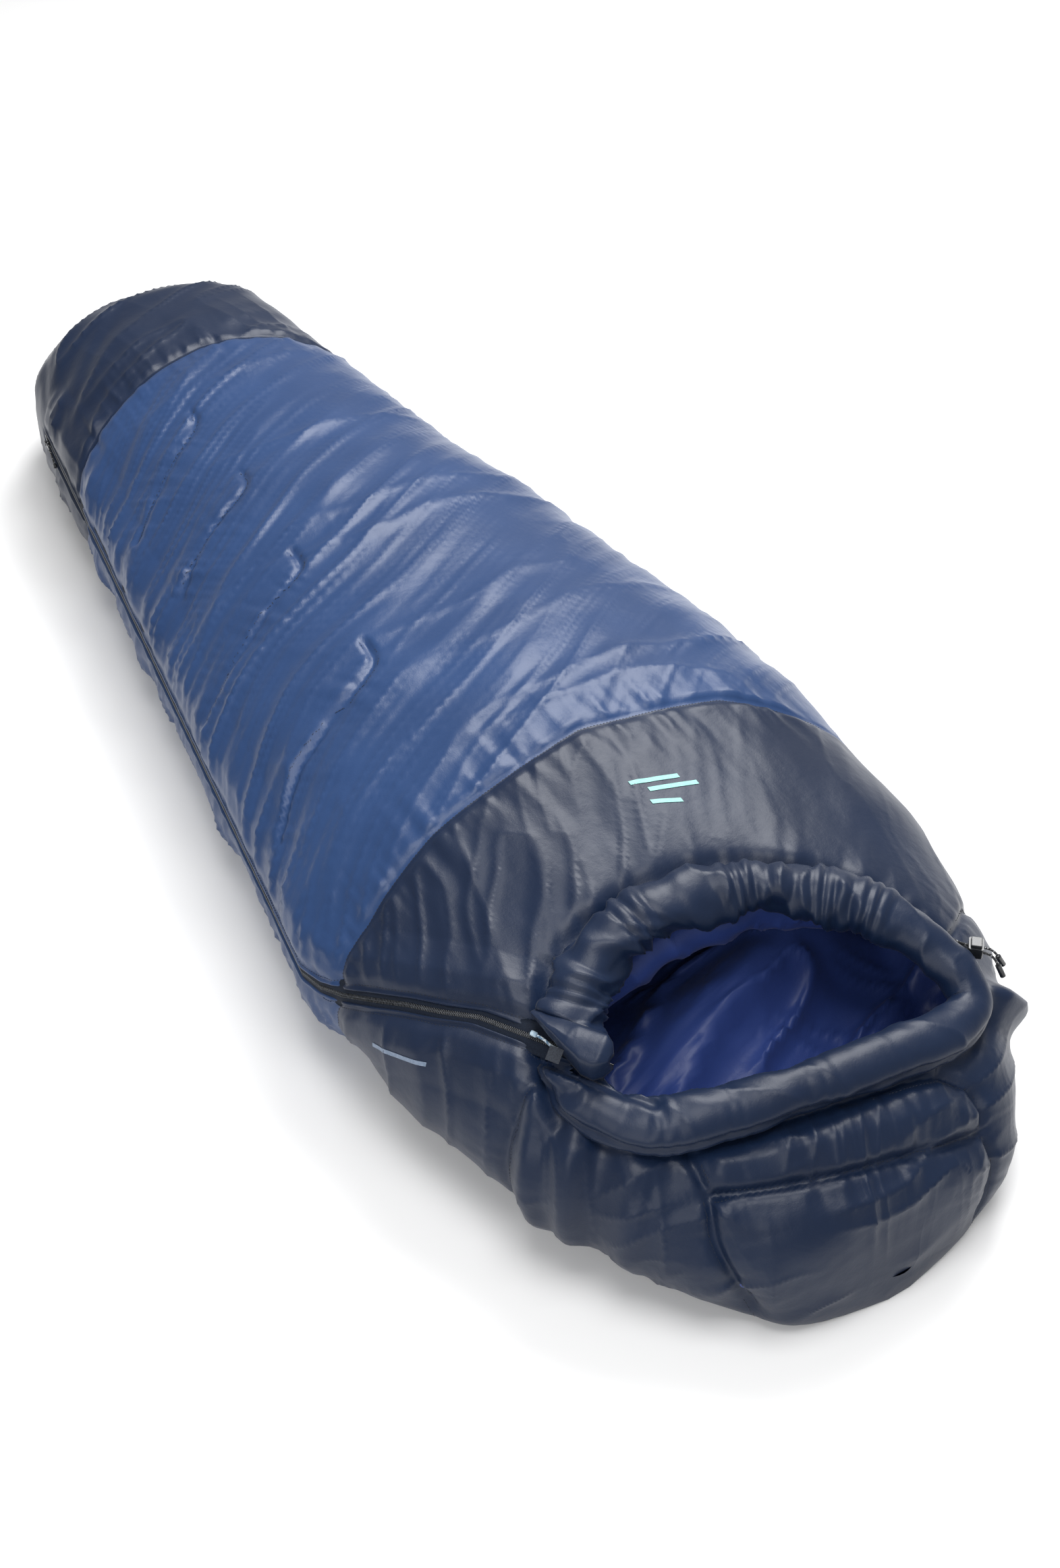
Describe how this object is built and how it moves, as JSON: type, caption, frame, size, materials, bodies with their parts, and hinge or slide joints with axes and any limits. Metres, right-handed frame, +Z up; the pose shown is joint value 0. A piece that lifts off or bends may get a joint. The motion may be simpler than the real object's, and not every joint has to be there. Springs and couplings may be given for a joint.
{
  "type": "mummy sleeping bag",
  "caption": "Hooded mummy sleeping bag lying on its back, zipped shut, with a half-moon face opening and a two-way side zip.",
  "frame": {"origin": "middle of the bag's box, on the surface it lies on", "axes": "+Y towards the foot, -Y towards the hood, -X towards the zip, +Z up through the chest"},
  "size_m": [0.7945, 2.1, 0.333],
  "materials": {
    "navy_shell": "fine ripstop woven nylon with a soft sheen, dark navy",
    "blue_shell": "fine ripstop woven nylon with a satin sheen, mid blue",
    "blue_liner": "smooth woven polyester taffeta, royal blue",
    "insulation": "white synthetic fill, hidden inside the wall",
    "zip_tape": "black woven tape",
    "zip_coil": "black moulded coil",
    "slider_metal": "black lacquered die-cast metal",
    "cord_blue": "braided cord, light grey-blue with white flecks",
    "cord_black": "braided cord, black with white flecks",
    "black_plastic": "black moulded acetal",
    "webbing": "black woven webbing",
    "spring_steel": "plain spring wire"
  },
  "bodies": {
    "bag": {"shell_foot": "navy_shell", "shell_chest": "navy_shell", "shell_hood_left": "navy_shell", "shell_hood_right": "navy_shell", "shell_crown_upper": "navy_shell", "shell_crown_lower": "navy_shell", "face_rim_upper": "navy_shell", "face_rim_lower": "navy_shell", "neck_baffle": "navy_shell", "shell_body_top": "blue_shell", "shell_body_bottom": "blue_shell", "liner_foot": "blue_liner", "liner_body_top": "blue_liner", "liner_body_bottom": "blue_liner", "liner_chest": "blue_liner", "liner_hood": "blue_liner", "draft_tube": "blue_liner", "fill_foot": "insulation", "fill_body_top": "insulation", "fill_body_bottom": "insulation", "fill_chest": "insulation", "fill_hood_left": "insulation", "fill_hood_right": "insulation", "zip_tape_upper": "zip_tape", "zip_tape_lower": "zip_tape", "zip_coil_upper": "zip_coil", "zip_coil_lower": "zip_coil", "zip_top_stop": "zip_coil", "zip_bottom_stop": "zip_coil", "hood_drawcord": "cord_black", "drawcord_strand_left": "cord_black", "drawcord_strand_right": "cord_black", "cord_lock_body": "black_plastic", "cord_ends": "black_plastic", "cord_lock_tab": "webbing", "cord_lock_spring": "spring_steel"},
    "head_slider": {"head_slider": "slider_metal"},
    "head_pull": {"head_pull_tab": "slider_metal", "head_pull_cord": "cord_blue", "head_pull_knob": "cord_blue"},
    "foot_slider": {"foot_slider": "slider_metal"},
    "foot_pull": {"foot_pull_tab": "slider_metal", "foot_pull_cord": "cord_black", "foot_pull_knob": "black_plastic"},
    "zip_flap": {"garage_flap": "navy_shell", "flap_hook_patch": "zip_tape"},
    "lock_button": {"cord_lock_button": "black_plastic"}
  },
  "joints": [
    {"name": "head_slider_travel", "type": "slide", "parent": "bag", "child": "head_slider", "axis": [-0.4921, 0.8666, -0.0833], "range_m": [0, 0.12]},
    {"name": "foot_slider_travel", "type": "slide", "parent": "bag", "child": "foot_slider", "axis": [-0.1308, -0.9914, 0], "range_m": [0, 1.17]},
    {"name": "head_pull_swing", "type": "hinge", "parent": "head_slider", "child": "head_pull", "pos_m": [-0.22329, -0.75603, 0.24911], "axis": [0.711, 0.4553, 0.5359], "range_deg": [0, 15]},
    {"name": "foot_pull_swing", "type": "hinge", "parent": "foot_slider", "child": "foot_pull", "pos_m": [-0.24394, 0.79059, 0.14], "axis": [0, 0, -1], "range_deg": [0, 150]},
    {"name": "zip_flap_open", "type": "hinge", "parent": "bag", "child": "zip_flap", "pos_m": [-0.25922, -0.68117, 0.27983], "axis": [-0.4921, 0.8666, -0.0833], "range_deg": [0, 120]},
    {"name": "lock_button_press", "type": "slide", "parent": "bag", "child": "lock_button", "axis": [0, 0, -1], "range_m": [0, 0.003], "stiffness_N_per_m": 900, "springref_m": -0.002, "deforming": ["cord_lock_spring"]}
  ]
}
